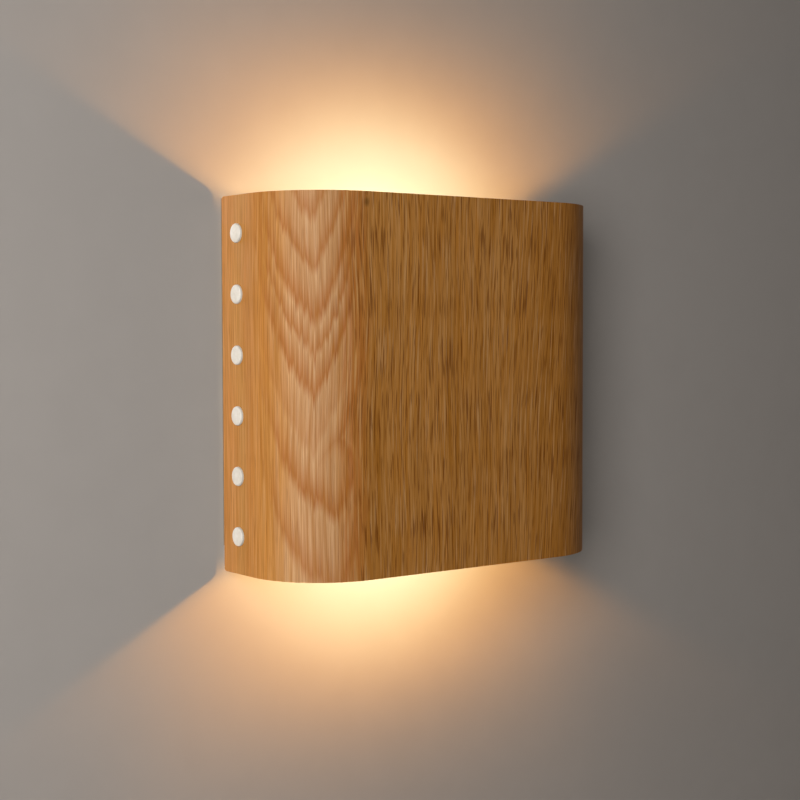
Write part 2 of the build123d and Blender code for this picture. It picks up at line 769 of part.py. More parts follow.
def main():
    save("wall_bracket", wall_bracket())
    save("hanging_studs", *[hanging_stud(side * stud_spacing / 2) for side in (-1, 1)])
    save("veneer_shade", shade_skin(0, veneer_thickness))
    save("shade_liner", shade_skin(veneer_thickness, liner_thickness))
    save("back_frame", back_frame())
    heads = [rivet_head(z) for z in rivet_heights()]
    backs = [rivet_back(z) for z in rivet_heights()]
    save("rivet_heads_right", *heads)
    save("rivet_backs_right", *backs)
    save("rivet_heads_left", *[other_side(head) for head in heads])
    save("rivet_backs_left", *[other_side(back) for back in backs])
    save("cable_grommet", cable_grommet())
    save("lampholder_carrier", lampholder_carrier())
    carrier_screws = [m4_screw(x, z, carrier_web_y) for x, z in m4_places()[:-1]]
    save("carrier_screws", *carrier_screws)
    save("plate_nuts", *[m4_nut(x, z) for x, z in m4_places()])
    holder = lampholder()
    contacts = [lampholder_contact(side) for side in (-1, 1)]
    screws = [holder_screw(side) for side in (-1, 1)]
    save("upper_lampholder", holder)
    save("lower_lampholder", flipped(holder))
    save("upper_contacts", *contacts)
    save("lower_contacts", *[flipped(contact) for contact in contacts])
    save("lampholder_screws", *screws, *[flipped(screw) for screw in screws])
    pins = [bulb_pin(side) for side in (-1, 1)]
    for name, pieces in (
        ("bulb_base", [bulb_base()]),
        ("bulb_pins", pins),
        ("bulb_envelope", [bulb_envelope()]),
        ("bulb_core", [bulb_core()]),
    ):
        save(f"upper_{name}", *pieces)
        save(f"lower_{name}", *[flipped(piece) for piece in pieces])
    save("terminal_block", terminal_block())
    save("terminal_barrels", *[terminal_barrel(z) for z in pole_heights()])
    grub_places = [
        (terminal_x + side * barrel_screw_offset, z) for z in pole_heights() for side in (-1, 1)
    ]
    save("terminal_screws", *[terminal_screw(x, z) for x, z in grub_places])
    save("terminal_fixing_screw", terminal_fixing_screw())
    save("earth_ring_terminal", earth_ring())
    save("earth_washer", earth_washer())
    earth_seat_y = plate_front_y - ring_thickness - washer_thickness
    save("earth_screw", m4_screw(earth_x, earth_z, earth_seat_y))
    live, neutral = lampholder_leads()
    save("live_leads", *live)
    save("neutral_leads", *neutral)
    save("earth_lead", earth_lead())


main()
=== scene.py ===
import json
import math

import bpy
from mathutils import Matrix, Vector

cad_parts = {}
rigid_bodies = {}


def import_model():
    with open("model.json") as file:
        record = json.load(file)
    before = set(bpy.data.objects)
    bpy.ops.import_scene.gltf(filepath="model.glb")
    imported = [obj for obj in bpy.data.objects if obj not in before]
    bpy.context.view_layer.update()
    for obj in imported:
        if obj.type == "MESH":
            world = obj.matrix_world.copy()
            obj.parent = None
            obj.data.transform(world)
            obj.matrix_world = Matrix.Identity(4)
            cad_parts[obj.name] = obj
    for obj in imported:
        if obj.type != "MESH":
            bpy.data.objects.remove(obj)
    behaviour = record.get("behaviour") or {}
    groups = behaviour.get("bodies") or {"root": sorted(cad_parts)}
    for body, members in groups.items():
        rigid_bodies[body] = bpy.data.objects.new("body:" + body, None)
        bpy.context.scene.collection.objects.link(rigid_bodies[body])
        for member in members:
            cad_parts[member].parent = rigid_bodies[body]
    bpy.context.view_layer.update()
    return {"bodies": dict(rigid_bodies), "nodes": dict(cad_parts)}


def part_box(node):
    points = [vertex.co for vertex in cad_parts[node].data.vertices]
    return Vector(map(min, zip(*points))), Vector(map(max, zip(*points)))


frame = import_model()

# Looks of a bent oak-veneer wall sconce, shining up and down a pale wall. Lengths are in millimetres and
# become metres where Blender takes them. Colours are written as they are seen, 0 to 255.
MM = 0.001

# The shade's sheet, as the part has it
SHADE_LOW, SHADE_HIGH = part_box("veneer_shade")
SHADE_HALF_WIDTH = SHADE_HIGH.x / MM
SHADE_FRONT = SHADE_LOW.y / MM
SHADE_HALF_HEIGHT = SHADE_HIGH.z / MM
CORNER_RADIUS = 48.0
FLAT_HALF_WIDTH = SHADE_HALF_WIDTH - CORNER_RADIUS
CORNER_CENTRE_Y = SHADE_FRONT + CORNER_RADIUS
QUARTER_BEND = CORNER_RADIUS * math.pi / 2

# Camera: where the photograph was taken from
VIEW_AZIMUTH = -36.76
VIEW_ELEVATION = 2.80
VIEW_ROLL = -0.16
VIEW_DISTANCE = 989.0
VIEW_ASIDE = 9.08
VIEW_RAISE = -12.85
FOCAL_PIXELS = 1557.0
IMAGE_PIXELS = 800.0
SENSOR_WIDTH = 36.0

# Room
FLOOR_Z = -750.0
WALL_BEHIND = 0.2
WALL_HALF_WIDTH = 1200.0
WALL_TOP = 3000.0
FLOOR_HALF_WIDTH = 3500.0
FLOOR_DEPTH = 5000.0

# Light of the room. Azimuths are from straight in front of the wall, to the right.
AMBIENT = 0.062
BACKDROP = 0.42
FLOOR_GLOW = 0.50
BULB_RADIUS = 8.0
INSIDE_COLOUR = (1.0, 0.80, 0.52)
GLOW_FAR_COLOUR = (1.0, 0.41, 0.02, 1.0)
GLOW_NEAR_COLOUR = (1.0, 0.86, 0.48, 1.0)
GLOW_PLACE = (-9.0, -42.0, 52.0)
UPPER_GLOW_WATTS = 2.25
LOWER_GLOW_WATTS = 2.65
INSIDE_GLOW_WATTS = 0.055

# How the glow leaves an opening. Each pair is where a measure of the light's direction starts to count and
# where it counts in full. The direction's parts are along the wall, out to it, and up or down.
REACH_RANGE = (0.10, 0.34)
CLEAR_OF_SIDES_RANGE = (0.46, 0.60)
CLEAR_OF_FRAME_RANGE = (0.87, 0.76)
CLOSE_RANGE = (0.31, 0.50)
CLOSE_LOSS = 0.53
DISTANT_RANGE = (0.24, 0.13)
ASIDE_RANGE = (0.55, 0.80)
LEFT_LOSS = 0.85
RIGHT_LOSS = 0.55
PALE_RANGE = (0.25, 0.48)
LEAST_PART = 0.001


def srgb(red, green, blue):
    """A seen colour as the linear values that a shader takes."""

    def linear(level):
        share = level / 255
        return share / 12.92 if share <= 0.04045 else ((share + 0.055) / 1.055) ** 2.4

    return (linear(red), linear(green), linear(blue), 1.0)


class Nodes:
    """A node tree, with a short call for each kind of node that the finishes and lights share."""

    def __init__(self, tree):
        self.tree = tree
        self.coordinates = tree.nodes.new("ShaderNodeTexCoord")

    def put(self, socket, value):
        """Link another node's output to a socket, or set a plain value on it."""
        if isinstance(value, bpy.types.NodeSocket):
            self.tree.links.new(value, socket)
        else:
            socket.default_value = value

    def math(self, operation, *values):
        """One Math node."""
        node = self.tree.nodes.new("ShaderNodeMath")
        node.operation = operation
        for socket, value in zip(node.inputs, values):
            self.put(socket, value)
        return node.outputs[0]

    def plus(self, first, second):
        """first + second."""
        return self.math("ADD", first, second)

    def minus(self, first, second):
        """first - second."""
        return self.math("SUBTRACT", first, second)

    def times(self, first, second):
        """first x second."""
        return self.math("MULTIPLY", first, second)

    def magnitude(self, value):
        """The value without its sign."""
        return self.math("ABSOLUTE", value)

    def scaled(self, value, factor, offset=0.0):
        """value x factor + offset."""
        return self.math("MULTIPLY_ADD", value, factor, offset)

    def swing(self, noise, width):
        """Noise of 0 to 1 as a swing about nothing, over a width."""
        return self.scaled(noise, width, -width / 2)

    def step(self, value, low, high):
        """0 below low and 1 above high, with a smooth rise between them."""
        node = self.tree.nodes.new("ShaderNodeMapRange")
        node.interpolation_type = "SMOOTHSTEP"
        for name, number in (("Value", value), ("From Min", low), ("From Max", high)):
            self.put(node.inputs[name], number)
        return node.outputs[0]

    def bell(self, value, centre, half_width):
        """1 at the centre, falling smoothly to 0 a half width away."""
        off = self.magnitude(self.minus(value, centre))
        return self.minus(1.0, self.step(off, 0.0, half_width))

    def split(self, vector):
        """The three numbers of a vector."""
        node = self.tree.nodes.new("ShaderNodeSeparateXYZ")
        self.put(node.inputs[0], vector)
        return node.outputs[0], node.outputs[1], node.outputs[2]

    def join(self, x, y, z=0.0):
        """A vector of three numbers."""
        node = self.tree.nodes.new("ShaderNodeCombineXYZ")
        for socket, value in zip(node.inputs, (x, y, z)):
            self.put(socket, value)
        return node.outputs[0]

    def place(self):
        """The point on the surface, in millimetres."""
        node = self.tree.nodes.new("ShaderNodeVectorMath")
        node.operation = "SCALE"
        self.put(node.inputs[0], self.coordinates.outputs["Object"])
        node.inputs["Scale"].default_value = 1 / MM
        return node.outputs[0]

    def noise(self, vector, scale=1.0, detail=2.0):
        """Soft noise, mostly between 0.3 and 0.7."""
        node = self.tree.nodes.new("ShaderNodeTexNoise")
        self.put(node.inputs["Vector"], vector)
        node.inputs["Scale"].default_value = scale
        node.inputs["Detail"].default_value = detail
        return node.outputs[0]

    def drawn(self, x_scale, y_scale, z_scale, detail=2.0):
        """Noise drawn out along the axes: cells per millimetre along each."""
        x, y, z = self.split(self.place())
        vector = self.join(self.scaled(x, x_scale), self.scaled(y, y_scale), self.scaled(z, z_scale))
        return self.noise(vector, detail=detail)

    def cells(self, vector, scale=1.0):
        """(distance to the nearest cell's middle, a random number for each cell)."""
        node = self.tree.nodes.new("ShaderNodeTexVoronoi")
        self.put(node.inputs["Vector"], vector)
        node.inputs["Scale"].default_value = scale
        return node.outputs["Distance"], self.split(node.outputs["Color"])[0]

    def ramp(self, value, stops):
        """A colour ramp of (place, colour) stops."""
        node = self.tree.nodes.new("ShaderNodeValToRGB")
        self.put(node.inputs[0], value)
        elements = node.color_ramp.elements
        while len(elements) > 1:
            elements.remove(elements[-1])
        elements[0].position, elements[0].color = stops[0]
        for position, colour in stops[1:]:
            elements.new(position).color = colour
        return node.outputs[0]

    def mix(self, share, first, second):
        """Two colours mixed by a share."""
        node = self.tree.nodes.new("ShaderNodeMix")
        node.data_type = "RGBA"
        factor, colour_a, colour_b, mixed = 0, 6, 7, 2
        self.put(node.inputs[factor], share)
        self.put(node.inputs[colour_a], first)
        self.put(node.inputs[colour_b], second)
        return node.outputs[mixed]


class Finish(Nodes):
    """One material."""

    def __init__(self, name, metallic=0.0, specular=0.5):
        self.material = bpy.data.materials.new(name)
        self.material.use_nodes = True
        super().__init__(self.material.node_tree)
        self.surface = self.tree.nodes["Principled BSDF"]
        self.output = self.tree.nodes["Material Output"]
        self.surface.inputs["Metallic"].default_value = metallic
        self.surface.inputs["Specular IOR Level"].default_value = specular

    def set(self, name, value):
        """Set or link one of the shader's own sockets."""
        self.put(self.surface.inputs[name], value)

    def bump(self, height, depth, strength=1.0):
        """Relief of a depth in millimetres, from a height of 0 to 1."""
        node = self.tree.nodes.new("ShaderNodeBump")
        self.put(node.inputs["Height"], height)
        node.inputs["Distance"].default_value = depth * MM
        node.inputs["Strength"].default_value = strength
        self.set("Normal", node.outputs[0])


# Oak veneer
OAK_LIGHT = srgb(220, 157, 87)
OAK_MIDDLE = srgb(210, 140, 62)
OAK_DEEP = srgb(172, 108, 28)
OAK_PORE = srgb(112, 54, 0)
OAK_PALE_LINE = srgb(226, 174, 118)
OAK_ORANGE = srgb(217, 148, 91)
OAK_YELLOW = srgb(207, 154, 84)
# Pale figure of the left corner: partly the wood's own tone, partly painted sheen
FIGURE_PALE_AND_SHEEN = srgb(227, 182, 136)
FIGURE_RED = srgb(182, 110, 54)
CORNER_STREAK = srgb(198, 118, 56)
KNOT = srgb(120, 78, 32)
END_GRAIN = srgb(150, 102, 56)
OAK_SPECULAR = 0.12

# Noises of the grain: cells per millimetre across it and along it, a seed and a detail
WANDER = (0.02, 0.007, 1.0, 1.0)
BROAD = (0.055, 0.004, 2.0, 1.0)
STREAK = (0.30, 0.009, 3.0, 2.0)
LINE = (0.70, 0.013, 4.0, 1.0)
FIBRE = (1.5, 0.018, 5.0, 2.0)
DASH = (0.95, 0.030, 6.0, 1.0)
SHORT_DASH = (1.4, 0.055, 7.0, 1.0)
PALE_LINE = (0.85, 0.022, 8.0, 1.0)

# Where each noise starts to show as a mark and where the mark is full, and the share that it then paints
STREAK_RANGE = (0.34, 0.66)
BROAD_RANGE = (0.42, 0.68)
BROAD_SHARE = 0.40
DARK_LINE_RANGE = (0.62, 0.34)
DARK_LINE_SHARE = 0.36
FIBRE_RANGE = (0.58, 0.38)
FIBRE_SHARE = 0.44
DASH_RANGE = (0.57, 0.68)
SHORT_DASH_RANGE = (0.55, 0.68)
PALE_LINE_RANGE = (0.54, 0.70)
STREAK_BREAK_RANGE = (0.72, 0.34)

# Shares of lines and dashes: what the front has more than the side, and what the side has
PALE_LINE_SHARES = (0.25, 0.25)
DASH_SHARES = (0.58, 0.10)
SHORT_DASH_SHARES = (0.36, 0.18)

# Places along the sheet where the wood changes, in millimetres from the middle of its front
WANDER_WIDTH = 9.0
LEAN_RANGE = (-10.0, 70.0)
GRAIN_LEAN = 0.05
LEFT_SIDE_RANGE = (-165.0, -125.0)
ORANGE_SHARE = 0.5
YELLOW_PLACE = -163.0
YELLOW_HALF_WIDTH = 12.0
YELLOW_WANDER = 30.0
YELLOW_SHARE = 0.5
# Painted shade: the wood darkens towards the right corner between these places
PAINTED_SHADE_RIGHT_RANGE = (15.0, 98.0)
PAINTED_SHADE_RIGHT_SHARE = 0.5
FRONT_RANGE = (-90.0, -62.0)
FRONT_RAGGED = 16.0
CUT_EDGE_RANGE = (0.5, 0.8)

FIGURE_CENTRE = -105.0
FIGURE_SECOND_CENTRE = -93.0
FIGURE_SECOND_DROP = -9.5
FIGURE_SECOND_HIDDEN = 60.0
FIGURE_DOUBLED_RANGE = (-50.0, -10.0)
FIGURE_LEFT_RISE = 0.95
FIGURE_LEFT_FLARE = 0.030
FIGURE_RIGHT_RISE = 1.5
FIGURE_RIGHT_FLARE = 0.045
PALE_AND_SHEEN_FULL_HALF = 9.0
PALE_AND_SHEEN_FADE_HALF = 30.0
RINGS_FULL_HALF = 17.0
RINGS_FADE_HALF = 44.0
# Height of each dark growth ring's lowest point, its half width and its strength, from the top
FIGURE_RINGS = (
    (96, 8, 0.8),
    (67, 7, 0.9),
    (38, 9, 1.0),
    (19, 6, 0.9),
    (-3, 9, 1.0),
    (-34, 8, 0.4),
    (-63, 10, 1.0),
    (-106, 12, 0.8),
)
# How many half widths a ring takes to rise from below, and to fade above to what rests between rings
RING_RISE = 0.8
RING_FADE = 1.5
RING_REST = 0.22
RING_SHARE = 0.92
PALE_AND_SHEEN_SHARE = 0.85
# How far each noise moves the rings up and down, and the figure's edge, the streaks and the knot sideways
RINGS_BY_LINE = 15.0
RINGS_BY_STREAK = 10.0
RINGS_BY_DASH = 6.0
FIGURE_EDGE_RAGGED = 34.0
CORNER_STREAK_RAGGED = 6.0
KNOT_RAGGED = 2.0
RING_RANGE_LOW = -150.0
RING_RANGE_HIGH = 120.0
# Place, half width and strength of each reddish streak
CORNER_STREAKS = ((-79.5, 5.0, 0.75), (-86.5, 3.0, 0.50))
KNOT_PLACE = (-73.7, 104.0)
KNOT_RADIUS = 2.2
KNOT_FULL_RADIUS = 0.4
KNOT_FLATNESS = 0.6
KNOT_SHARE = 0.75
BEND_LINE_PITCH = 1.25
BEND_LINE_WANDER = 1.2
BEND_LINE_SHARE = 0.24
BEND_LINES_MIDDLE = FLAT_HALF_WIDTH + QUARTER_BEND / 2 - 4.0
BEND_LINES_HALF_WIDTH = QUARTER_BEND / 2 + 2.0

# Sheen of the wood, and what its lines and pores add to it
OAK_ROUGHNESS = 0.42
LINE_ROUGHNESS = 0.16
PORE_ROUGHNESS = 0.10
# Relief in millimetres, and the share of it that pores and bend lines take away
OAK_RELIEF = 0.10
OAK_RELIEF_STRENGTH = 0.7
PORE_DEPTH = 0.35
BEND_LINE_DEPTH = 0.25


class Oak(Finish):
    """Upright oak grain round the bend, with pores, a knot and a cathedral figure on the left corner."""

    def __init__(self):
        super().__init__("oak_veneer", specular=OAK_SPECULAR)
        self.straight, self.height = self.sheet_place()
        self.wander = self.drawn_out(self.straight, *WANDER)
        lean = self.times(self.step(self.straight, *LEAN_RANGE), self.scaled(self.height, -GRAIN_LEAN))
        self.along = self.plus(self.plus(self.straight, self.swing(self.wander, WANDER_WIDTH)), lean)
        self.broad = self.drawn_out(self.along, *BROAD)
        self.streak = self.drawn_out(self.along, *STREAK)
        self.line = self.drawn_out(self.along, *LINE)
        self.fibre = self.drawn_out(self.along, *FIBRE)
        self.dash = self.drawn_out(self.along, *DASH)
        self.short_dash = self.drawn_out(self.along, *SHORT_DASH)
        self.pale_line = self.drawn_out(self.along, *PALE_LINE)
        self.dashes = self.step(self.dash, *DASH_RANGE)

    def sheet_place(self):
        """Distance along the bent sheet from the middle of its front, and height, in millimetres."""
        x, y, z = self.split(self.place())
        aside = self.magnitude(x)
        past_flat = self.math("MAXIMUM", self.minus(aside, FLAT_HALF_WIDTH), 0.0)
        before_side = self.math("MAXIMUM", self.minus(CORNER_CENTRE_Y, y), 0.0)
        along_side = self.math("MAXIMUM", self.minus(y, CORNER_CENTRE_Y), 0.0)
        turn = self.math("ARCTAN2", past_flat, before_side)
        flat = self.math("MINIMUM", aside, FLAT_HALF_WIDTH)
        length = self.scaled(turn, CORNER_RADIUS, self.plus(flat, along_side))
        return self.times(length, self.math("SIGN", x)), z

    def drawn_out(self, along, across, lengthwise, seed, detail):
        """Noise drawn out along the grain: cells per millimetre across it and along it."""
        vector = self.join(self.scaled(along, across), self.scaled(self.height, lengthwise), seed)
        return self.noise(vector, detail=detail)

    def plain_wood(self):
        """Streaks and broad bands. The left side is more orange, with a yellower band beside its back edge,
        and painted shade darkens the wood towards the right corner."""
        colour = self.mix(self.step(self.streak, *STREAK_RANGE), OAK_MIDDLE, OAK_LIGHT)
        colour = self.mix(self.scaled(self.step(self.broad, *BROAD_RANGE), BROAD_SHARE), colour, OAK_DEEP)
        left_side = self.minus(1.0, self.step(self.straight, *LEFT_SIDE_RANGE))
        colour = self.mix(self.scaled(left_side, ORANGE_SHARE), colour, OAK_ORANGE)
        yellow = self.plus(self.straight, self.swing(self.wander, YELLOW_WANDER))
        yellow = self.bell(yellow, YELLOW_PLACE, YELLOW_HALF_WIDTH)
        colour = self.mix(self.scaled(yellow, YELLOW_SHARE), colour, OAK_YELLOW)
        # Painted shade towards the right corner
        right = self.step(self.straight, *PAINTED_SHADE_RIGHT_RANGE)
        return self.mix(self.scaled(right, PAINTED_SHADE_RIGHT_SHARE), colour, OAK_DEEP)

    def nested(self, centre):
        """Height of the lowest point of the V that passes through each point."""
        right = self.math("MAXIMUM", self.minus(self.along, centre), 0.0)
        left = self.math("MAXIMUM", self.minus(centre, self.along), 0.0)
        right = self.times(right, self.scaled(right, FIGURE_RIGHT_FLARE, FIGURE_RIGHT_RISE))
        left = self.times(left, self.scaled(left, FIGURE_LEFT_FLARE, FIGURE_LEFT_RISE))
        return self.minus(self.height, self.plus(left, right))

    def figure_field(self):
        """Height of the lowest point of the growth ring through each point: nested Vs, doubled low down."""
        low_down = self.minus(1.0, self.step(self.height, *FIGURE_DOUBLED_RANGE))
        drop = self.scaled(low_down, FIGURE_SECOND_DROP - FIGURE_SECOND_HIDDEN, FIGURE_SECOND_HIDDEN)
        second = self.minus(self.nested(FIGURE_SECOND_CENTRE), drop)
        return self.math("MAXIMUM", self.nested(FIGURE_CENTRE), second)

    def figure(self, colour):
        """Cathedral figure on the left corner: dark rings on pale wood, whose paleness is partly painted
        sheen.
        """
        ragged = self.plus(self.swing(self.line, RINGS_BY_LINE), self.swing(self.streak, RINGS_BY_STREAK))
        ragged = self.plus(ragged, self.swing(self.short_dash, RINGS_BY_DASH))
        field = self.plus(self.figure_field(), ragged)
        span = RING_RANGE_HIGH - RING_RANGE_LOW
        rings = self.ramp(self.scaled(field, 1 / span, -RING_RANGE_LOW / span), ring_stops())
        rings = self.scaled(self.split(rings)[0], RING_SHARE)
        off = self.magnitude(self.minus(self.straight, FIGURE_CENTRE))
        off = self.plus(off, self.swing(self.streak, FIGURE_EDGE_RAGGED))
        # Pale wood over the figure, partly painted sheen
        pale = self.minus(1.0, self.step(off, PALE_AND_SHEEN_FULL_HALF, PALE_AND_SHEEN_FADE_HALF))
        ringed = self.minus(1.0, self.step(off, RINGS_FULL_HALF, RINGS_FADE_HALF))
        colour = self.mix(self.scaled(pale, PALE_AND_SHEEN_SHARE), colour, FIGURE_PALE_AND_SHEEN)
        return self.mix(self.times(ringed, rings), colour, FIGURE_RED)

    def corner_streaks(self, colour):
        """Reddish streaks where the corner meets the flat front."""
        place = self.plus(self.along, self.swing(self.line, CORNER_STREAK_RAGGED))
        broken = self.step(self.pale_line, *STREAK_BREAK_RANGE)
        for middle, half, strength in CORNER_STREAKS:
            share = self.times(self.bell(place, middle, 2 * half), broken)
            colour = self.mix(self.scaled(share, strength), colour, CORNER_STREAK)
        return colour

    def lines_and_pores(self, colour):
        """Fine lines, then pale lines and dark dashes, fewer of them over the figure and the side."""
        front = self.step(self.scaled(self.line, FRONT_RAGGED, self.straight), *FRONT_RANGE)
        for noise, span, share in (
            (self.line, DARK_LINE_RANGE, DARK_LINE_SHARE),
            (self.fibre, FIBRE_RANGE, FIBRE_SHARE),
        ):
            colour = self.mix(self.scaled(self.step(noise, *span), share), colour, OAK_DEEP)
        pale_lines = self.step(self.pale_line, *PALE_LINE_RANGE)
        short_dashes = self.step(self.short_dash, *SHORT_DASH_RANGE)
        for marks, shares, shade in (
            (pale_lines, PALE_LINE_SHARES, OAK_PALE_LINE),
            (self.dashes, DASH_SHARES, OAK_PORE),
            (short_dashes, SHORT_DASH_SHARES, OAK_PORE),
        ):
            colour = self.mix(self.times(marks, self.scaled(front, *shares)), colour, shade)
        return colour

    def bend_lines(self):
        """Fine upright lines where the sheet is bent."""
        bent = self.bell(self.magnitude(self.straight), BEND_LINES_MIDDLE, BEND_LINES_HALF_WIDTH)
        phase = self.plus(self.straight, self.scaled(self.line, BEND_LINE_WANDER))
        phase = self.scaled(phase, 2 * math.pi / BEND_LINE_PITCH)
        return self.times(self.step(self.math("SINE", phase), 0.0, 1.0), bent)

    def knot(self, colour):
        """Knot near the top of the front's left edge."""
        off_x = self.minus(self.straight, KNOT_PLACE[0])
        off_z = self.times(self.minus(self.height, KNOT_PLACE[1]), KNOT_FLATNESS)
        off = self.math("SQRT", self.plus(self.times(off_x, off_x), self.times(off_z, off_z)))
        off = self.plus(off, self.swing(self.pale_line, KNOT_RAGGED))
        share = self.minus(1.0, self.step(off, KNOT_FULL_RADIUS, KNOT_RADIUS))
        return self.mix(self.scaled(share, KNOT_SHARE), colour, KNOT)

    def finish_surface(self):
        """Put the layers of colour together, with sheen and relief to match."""
        bend_lines = self.bend_lines()
        colour = self.figure(self.plain_wood())
        colour = self.lines_and_pores(self.corner_streaks(colour))
        colour = self.mix(self.scaled(bend_lines, BEND_LINE_SHARE), colour, FIGURE_RED)
        colour = self.knot(colour)
        cut_edges = self.magnitude(self.split(self.coordinates.outputs["Normal"])[2])
        self.set("Base Color", self.mix(self.step(cut_edges, *CUT_EDGE_RANGE), colour, END_GRAIN))
        roughness = self.scaled(self.line, LINE_ROUGHNESS, OAK_ROUGHNESS)
        self.set("Roughness", self.scaled(self.dashes, PORE_ROUGHNESS, roughness))
        relief = self.minus(self.scaled(self.fibre, 0.5, 0.5), self.scaled(self.dashes, PORE_DEPTH))
        relief = self.minus(relief, self.scaled(bend_lines, BEND_LINE_DEPTH))
        self.bump(relief, OAK_RELIEF, strength=OAK_RELIEF_STRENGTH)


def ring_stops():
    """Ramp stops of the dark rings: a pale line under each, and a soft fade above it."""
    span = RING_RANGE_HIGH - RING_RANGE_LOW
    stops = [(0.0, (0, 0, 0, 1))]
    for height, half, strength in reversed(FIGURE_RINGS):
        for offset, level in ((-RING_RISE * half, 0.0), (0.0, strength), (RING_FADE * half, RING_REST)):
            stops.append(((height + offset - RING_RANGE_LOW) / span, (level, level, level, 1)))
    return stops


def oak_veneer():
    """Oak veneer of the shade."""
    finish = Oak()
    finish.finish_surface()
    return finish.material


# Where soft noise starts to turn one tone into another, and where it has
SOFT_RANGE = (0.35, 0.65)
MOTTLE_RANGE = (0.38, 0.62)
CLOUDS_PER_MARK = 0.12
ROUGHNESS_SPREAD = 0.06


def mottled(name, dark, light, grain, roughness, relief=0.02, specular=0.5):
    """A plain finish with slight mottling: grain is the size of its marks in millimetres."""
    finish = Finish(name, specular=specular)
    place = finish.place()
    marks = finish.noise(place, scale=1 / grain, detail=3.0)
    clouds = finish.noise(place, scale=CLOUDS_PER_MARK / grain, detail=1.0)
    both = finish.plus(finish.scaled(marks, 0.5), finish.scaled(clouds, 0.5))
    share = finish.step(both, *MOTTLE_RANGE)
    finish.set("Base Color", finish.mix(share, dark, light))
    finish.set("Roughness", finish.scaled(marks, 2 * ROUGHNESS_SPREAD, roughness - ROUGHNESS_SPREAD))
    finish.bump(marks, relief)
    return finish


def white_lining():
    """Matt white lining with a faint upright fibre."""
    finish = Finish("white_lining", specular=0.3)
    fibre = finish.drawn(1.2, 1.2, 0.08, detail=3.0)
    share = finish.step(fibre, *SOFT_RANGE)
    finish.set("Base Color", finish.mix(share, srgb(226, 221, 211), srgb(238, 234, 226)))
    finish.set("Roughness", finish.scaled(fibre, 0.1, 0.62))
    finish.bump(fibre, 0.03)
    return finish.material


def white_powder_coat():
    """Satin white powder coat, with orange peel."""
    return mottled(
        "white_powder_coat", srgb(225, 223, 217), srgb(231, 229, 224), 0.7, 0.42, relief=0.04
    ).material


def zinc_steel():
    """Bright zinc plate: soft crystals of slightly different grey, and fine scratches."""
    finish = Finish("zinc_steel", metallic=1.0)
    random = finish.cells(finish.place(), scale=0.45)[1]
    scratches = finish.drawn(0.15, 3.0, 5.0)
    tone = finish.plus(finish.scaled(random, 0.5), finish.scaled(scratches, 0.6, -0.05))
    finish.set("Base Color", finish.mix(tone, srgb(178, 181, 186), srgb(214, 215, 214)))
    roughness = finish.plus(finish.scaled(random, 0.08, 0.24), finish.scaled(scratches, 0.16))
    finish.set("Roughness", roughness)
    finish.bump(scratches, 0.01)
    return finish.material


def rivet_nylon():
    """Cream nylon, smooth, with faint clouds."""
    return mottled(
        "rivet_nylon", srgb(236, 227, 212), srgb(247, 239, 226), 2.2, 0.40, specular=0.45
    ).material


def grommet_rubber():
    """Black rubber with a dusty bloom."""
    return mottled("grommet_rubber", srgb(26, 26, 27), srgb(46, 45, 45), 1.5, 0.68, relief=0.03).material


def holder_ceramic():
    """Unglazed white ceramic with a few specks."""
    finish = Finish("holder_ceramic", specular=0.45)
    place = finish.place()
    distance, random = finish.cells(place, scale=0.9)
    middles = finish.minus(1.0, finish.step(distance, 0.08, 0.2))
    specks = finish.times(middles, finish.step(random, 0.8, 0.9))
    clouds = finish.noise(place, scale=0.25, detail=3.0)
    colour = finish.mix(finish.step(clouds, *SOFT_RANGE), srgb(226, 221, 209), srgb(237, 233, 224))
    finish.set("Base Color", finish.mix(finish.scaled(specks, 0.5), colour, srgb(150, 132, 108)))
    finish.set("Roughness", finish.scaled(clouds, 0.2, 0.40))
    finish.bump(clouds, 0.05)
    return finish.material


def metal(name, dark, light, roughness):
    """Drawn or stamped metal with fine lines."""
    finish = Finish(name, metallic=1.0)
    lines = finish.drawn(0.6, 4.0, 2.5, detail=3.0)
    finish.set("Base Color", finish.mix(finish.step(lines, *SOFT_RANGE), dark, light))
    finish.set("Roughness", finish.scaled(lines, 0.2, roughness - 0.1))
    finish.bump(lines, 0.01)
    return finish.material


def insulation(name, dark, light):
    """Smooth wire insulation, with slight handling marks."""
    return mottled(name, dark, light, 1.2, 0.38, relief=0.01).material


def green_yellow_insulation():
    """Earth wire: green with a yellow stripe along each side."""
    finish = Finish("green_yellow_insulation")
    place = finish.place()
    marks = finish.noise(place, scale=0.8, detail=2.0)
    facing = finish.magnitude(finish.split(finish.coordinates.outputs["Normal"])[1])
    stripe = finish.step(finish.plus(facing, finish.swing(marks, 0.1)), 0.66, 0.72)
    green = finish.mix(marks, srgb(38, 116, 58), srgb(58, 142, 74))
    yellow = finish.mix(marks, srgb(226, 196, 52), srgb(240, 214, 84))
    finish.set("Base Color", finish.mix(stripe, green, yellow))
    finish.set("Roughness", finish.scaled(marks, 0.1, 0.34))
    finish.bump(marks, 0.01)
    return finish.material


# Lit bulbs. A chip starts and is full at these heights above the column's face.
HOLDER_Y = -42.0
LED_HALF_COLUMN = 3.0
LED_MIDDLE = 56.0
CHIP_RANGE = (0.05, 0.15)
CHIP_GLOW = 1.0
COVER_GLOW_BASE = 0.25
COVER_GLOW_MIDDLE = 0.62
COVER_GLOW_HALF_LENGTH = 24.0


